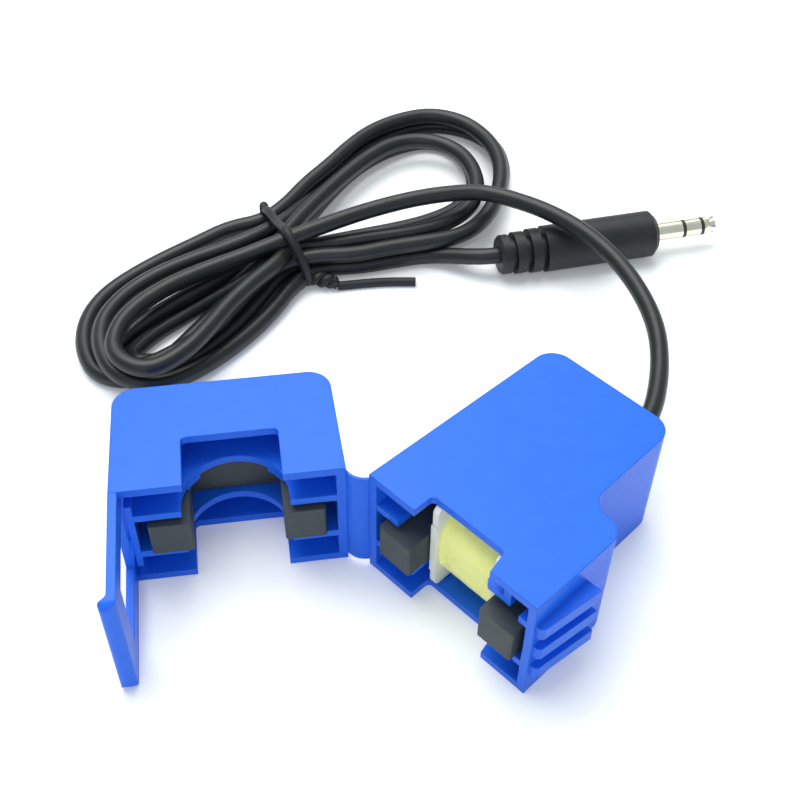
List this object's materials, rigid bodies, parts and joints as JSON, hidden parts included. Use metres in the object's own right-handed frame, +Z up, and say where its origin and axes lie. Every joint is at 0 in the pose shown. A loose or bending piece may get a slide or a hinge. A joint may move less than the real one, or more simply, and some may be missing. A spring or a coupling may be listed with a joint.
{
  "type": "current transformer",
  "caption": "Split-core clip-on current transformer with a hinged cap, a windowed latch arm, a wound bobbin, a tied lead and a moulded stereo jack plug.",
  "frame": {"origin": "under the middle of the housing, on the surface that it lies on", "axes": "+X along the body's parting face from the hinge to the latch, +Y from the parting face into the body and towards the cable, +Z up, along the hinge axis"},
  "size_m": [0.1146, 0.1455, 0.022],
  "materials": {
    "housing": "satin moulded polypropylene",
    "ferrite": "matt sintered",
    "foam": "foam",
    "bobbin": "matt moulded",
    "copper": "enamelled",
    "tape": "film tape",
    "tinned_pin": "tinned",
    "resistor": "lacquered",
    "wire_light": "insulated",
    "wire_dark": "insulated",
    "clamp": "matt",
    "cable": "satin jacket",
    "tie": "matt",
    "plug": "moulded, satin",
    "jack": "polished plating",
    "insulator": "gloss"
  },
  "bodies": {
    "body": {"body_housing": "housing", "hinge_web": "housing", "body_core": "ferrite", "bobbin": "bobbin", "winding": "copper", "winding_tape": "tape", "winding_lead_1": "copper", "winding_lead_2": "copper", "terminal_pin_1": "tinned_pin", "terminal_pin_2": "tinned_pin", "burden_resistor": "resistor", "inner_wire_1": "wire_light", "inner_wire_2": "wire_dark", "cable_clamp": "clamp", "cable_lead": "cable", "cable_hank": "cable", "cable_tail": "cable", "twist_tie": "tie", "plug_body": "plug", "jack_sleeve": "jack", "jack_ring": "jack", "jack_tip": "jack", "jack_insulator_1": "insulator", "jack_insulator_2": "insulator"},
    "cap": {"cap_housing": "housing", "cap_core": "ferrite", "cap_core_pad": "foam"},
    "latch": {"latch_arm": "housing"}
  },
  "joints": [
    {"name": "cap_hinge", "type": "hinge", "parent": "body", "child": "cap", "pos_m": [0.00038, -0.00027, 0], "axis": [0, 0, 1], "range_deg": [-50, 126.4], "deforming": ["hinge_web"]},
    {"name": "latch_flex", "type": "hinge", "parent": "cap", "child": "latch", "pos_m": [-0.02148, -0.02823, 0], "axis": [0, 0, -1], "range_deg": [0, 9], "stiffness_Nm_per_rad": 0.3}
  ]
}
